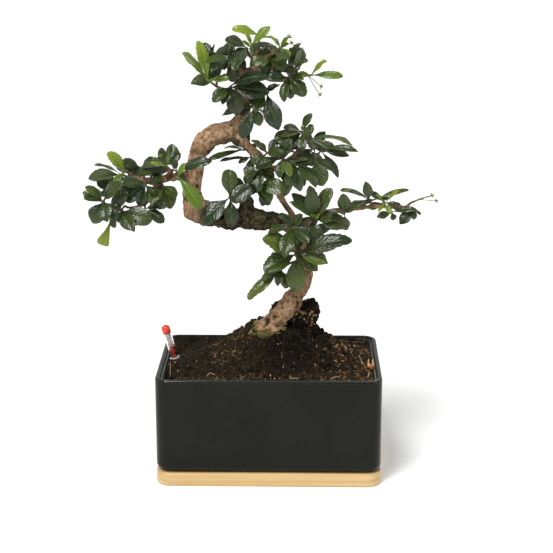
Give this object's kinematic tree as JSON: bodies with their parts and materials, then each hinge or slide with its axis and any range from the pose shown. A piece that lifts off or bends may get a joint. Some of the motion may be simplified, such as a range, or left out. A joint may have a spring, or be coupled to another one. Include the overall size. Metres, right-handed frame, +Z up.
{
  "type": "fukien tea bonsai",
  "caption": "Small indoor tree with an S-shaped trunk and glossy notched leaves, rooted in a mound of soil in a glazed rectangular self-watering pot on a bamboo tray.",
  "frame": {"origin": "middle of the bamboo tray's underside, where the object rests", "axes": "+Z up, +X along the pot's long side to the right seen from the front, +Y away from the front"},
  "size_m": [0.3413, 0.1484, 0.4404],
  "materials": {
    "bamboo": "satin lacquered bamboo with straight grain",
    "glazed_ceramic": "glossy black-green glaze on stoneware",
    "liner_plastic": "moulded black polypropylene",
    "potting_soil": "moist peat with fibres and perlite",
    "bark": "pitted greyish tan bark",
    "leaf": "glossy leathery leaf",
    "young_leaf": "soft glossy young leaf",
    "flower_bud": "pale yellow-green bud",
    "clear_plastic": "clear moulded tube",
    "red_plastic": "red moulded plastic"
  },
  "bodies": {
    "root": {"bamboo_tray": "bamboo", "ceramic_pot": "glazed_ceramic", "planter_liner": "liner_plastic", "soil": "potting_soil", "trunk_and_branches": "bark", "gauge_tube": "clear_plastic", "gauge_cap": "red_plastic", "gauge_float": "red_plastic", "crown_1": "leaf", "crown_10": "leaf", "crown_11": "leaf", "crown_12": "leaf", "crown_2": "leaf", "crown_3": "leaf", "crown_4": "leaf", "crown_5": "leaf", "crown_6": "leaf", "crown_7": "leaf", "crown_8": "leaf", "crown_9": "leaf", "elbow_1": "leaf", "elbow_2": "leaf", "elbow_3": "leaf", "elbow_4": "leaf", "elbow_5": "leaf", "elbow_6": "leaf", "flower_1": "flower_bud", "flower_2": "flower_bud", "heart_1": "leaf", "heart_2": "leaf", "heart_3": "leaf", "left_1": "leaf", "left_10": "leaf", "left_2": "leaf", "left_3": "leaf", "left_4": "leaf", "left_5": "leaf", "left_6": "leaf", "left_7": "leaf", "left_8": "leaf", "left_9": "leaf", "middle_1": "leaf", "middle_2": "leaf", "middle_3": "leaf", "middle_4": "leaf", "middle_5": "leaf", "middle_6": "leaf", "right_1": "leaf", "right_2": "leaf", "right_3": "leaf", "right_4": "leaf", "young_1": "young_leaf", "young_2": "young_leaf", "young_3": "young_leaf", "young_4": "young_leaf", "young_5": "young_leaf", "young_6": "young_leaf", "young_7": "young_leaf", "young_8": "young_leaf"}
  },
  "joints": []
}
